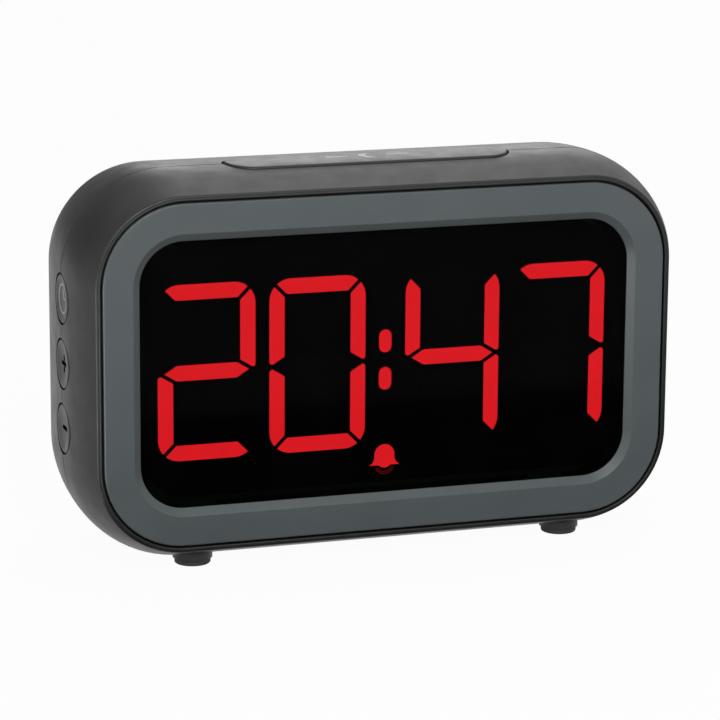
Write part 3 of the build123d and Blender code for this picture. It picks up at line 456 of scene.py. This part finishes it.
def mixed(tree, share, first, second, target):
    """Feeds the target with the first shader going over into the second."""
    mix = tree.nodes.new("ShaderNodeMixShader")
    tree.links.new(share, mix.inputs[0])
    tree.links.new(first, mix.inputs[1])
    tree.links.new(second, mix.inputs[2])
    tree.links.new(mix.outputs[0], target)


world = bpy.data.worlds.new("studio")
world.use_nodes = True
bpy.context.scene.world = world
tree = world.node_tree
lighting = tree.nodes["Background"]
lighting.inputs["Color"].default_value = WHITE
lighting.inputs["Strength"].default_value = WORLD_STRENGTH
backdrop = tree.nodes.new("ShaderNodeBackground")
backdrop.inputs["Color"].default_value = WHITE
backdrop.inputs["Strength"].default_value = 1.0
mixed(
    tree, seen_rays(tree), lighting.outputs[0], backdrop.outputs[0],
    tree.nodes["World Output"].inputs["Surface"],
)

floor_paint = bpy.data.materials.new("floor")
floor_paint.use_nodes = True
tree = floor_paint.node_tree
tree.nodes.remove(tree.nodes["Principled BSDF"])
diffuse = tree.nodes.new("ShaderNodeBsdfDiffuse")
diffuse.inputs["Color"].default_value = FLOOR_COLOUR
glow = tree.nodes.new("ShaderNodeEmission")
glow.inputs["Color"].default_value = WHITE
glow.inputs["Strength"].default_value = 1.0
share = tree.nodes.new("ShaderNodeMath")
share.operation = "MULTIPLY"
share.inputs[1].default_value = FLOOR_GLOW_SHARE
tree.links.new(seen_rays(tree), share.inputs[0])
mixed(
    tree, share.outputs[0], diffuse.outputs[0], glow.outputs[0],
    tree.nodes["Material Output"].inputs["Surface"],
)
build = bmesh.new()
bmesh.ops.create_circle(build, cap_ends=True, segments=FLOOR_SIDES, radius=FLOOR_RADIUS)
floor_mesh = bpy.data.meshes.new("floor")
build.to_mesh(floor_mesh)
build.free()
floor_mesh.materials.append(floor_paint)
floor = bpy.data.objects.new("floor", floor_mesh)
bpy.context.scene.collection.objects.link(floor)
floor.location.z = -FLOOR_DROP


# Lamps and cards, in metres

AIM = (0, 0, CENTRE_Z * MM)

# Place, width and height, and power of each lamp
LAMPS = {
    "top_box": ((0.3, 0.3, 1.0), (0.8, 0.8), 3.6),
    "rim_box": ((0.42, 1.2, 0.42), (0.5, 0.3), 1.1),
    "left_box": ((-0.7, -0.75, 0.55), (0.5, 0.8), 0.8),
    "front_fill": ((-0.06, -0.5, 0.34), (0.3, 0.2), 1.7),
    "ridge_lamp": ((-0.04, -0.85, 0.3), (0.09, 0.09), 0.5),
}
GREY = (0.45, 0.45, 0.45, 1.0)
# Colour of the painted shade patch on the floor, seen only in gloss
PAINTED_SHADE = (0.03, 0.03, 0.03, 1.0)
# Glow of the painted light patch on the floor, seen only in gloss
PAINTED_LIGHT_GLOW = 6.0
CARD_LIFT = 0.002
BACK_LOW = 0.02
BACK_HIGH = 0.85
BACK_STEP = 0.2

for name, (place, size, power) in LAMPS.items():
    lamp = bpy.data.lights.new(name, "AREA")
    lamp.shape = "RECTANGLE"
    lamp.size, lamp.size_y = size
    lamp.energy = power
    holder = bpy.data.objects.new(name, lamp)
    bpy.context.scene.collection.objects.link(holder)
    holder.location = place
    holder.rotation_euler = (Vector(AIM) - Vector(place)).to_track_quat("-Z", "Y").to_euler()


def card(name, corners, faces, colour, strength):
    """A flat studio card that only gloss shows, as photographers stand them round small products; it is a
    painted reflection, which lights and shades nothing.
    """
    surface = Surface(name, colour=colour, specular=0.0, glow=colour, glow_strength=strength)
    mesh = bpy.data.meshes.new(name)
    mesh.from_pydata(corners, [], faces)
    mesh.materials.append(surface.material)
    piece = bpy.data.objects.new(name, mesh)
    bpy.context.scene.collection.objects.link(piece)
    piece.visible_camera = False
    piece.visible_diffuse = False
    piece.visible_shadow = False


def on_floor(*corners):
    """The corners of a card that lies on the floor."""
    return [(x, y, CARD_LIFT) for x, y in corners]


card(
    "back_card",
    [
        (-1.1, 0.75, BACK_LOW), (0.08, 1.0, BACK_LOW), (0.08, 1.0, BACK_HIGH), (-1.1, 0.75, BACK_HIGH),
        (1.2, 0.8, BACK_LOW), (1.2, 0.8, BACK_STEP), (0.08, 1.0, BACK_STEP),
    ],
    [(0, 1, 2, 3), (1, 4, 5, 6)], GREY, 0.0,
)
# Painted light on the floor at the front left: a glowing patch that only gloss shows, giving a painted
# highlight along the case's left front edge
card(
    "painted_light_card", on_floor((-0.5, -0.4), (-0.1, -0.22), (-0.1, -0.05), (-0.5, -0.06)),
    [(0, 1, 2, 3)], WHITE, PAINTED_LIGHT_GLOW,
)
# Painted shade on the floor in front of the clock and to its right: a dark patch that only gloss shows,
# giving the lower bezel and the case's lower edges a painted dark reflection
card(
    "painted_shade_card",
    on_floor(
        (-0.07, -0.14), (0.3, -0.14), (0.3, -0.02), (-0.07, -0.02),
        (0.08, -0.02), (0.45, 0.45), (0.08, 0.3),
    ),
    [(0, 1, 2, 3), (4, 2, 5, 6)], PAINTED_SHADE, 0.0,
)


# Camera, where the photograph was taken from

AZIMUTH = radians(-18.893)
ELEVATION = radians(13.136)
ROLL = radians(0.502)
DISTANCE = 0.71828
FOCAL_LENGTH = 167.69
SENSOR_WIDTH = 36.0
SHIFT = (-0.0418, 0.0040)
CLIP = (0.01, 20.0)

back = Vector((sin(AZIMUTH) * cos(ELEVATION), -cos(AZIMUTH) * cos(ELEVATION), sin(ELEVATION)))
level_right = Vector((0, 0, 1)).cross(back).normalized()
level_up = back.cross(level_right)
right = level_right * cos(ROLL) + level_up * sin(ROLL)
up = level_up * cos(ROLL) - level_right * sin(ROLL)
optics = bpy.data.cameras.new("camera")
optics.lens = FOCAL_LENGTH
optics.sensor_width = SENSOR_WIDTH
optics.shift_x, optics.shift_y = SHIFT
optics.clip_start, optics.clip_end = CLIP
camera = bpy.data.objects.new("camera", optics)
bpy.context.scene.collection.objects.link(camera)
looked_at = Vector((0, FRONT_Y, CENTRE_Z)) * MM
camera.matrix_world = Matrix.Translation(looked_at + back * DISTANCE) @ Matrix(
    (right, up, back)
).transposed().to_4x4()
bpy.context.scene.camera = camera
bpy.context.scene.view_settings.view_transform = "Standard"
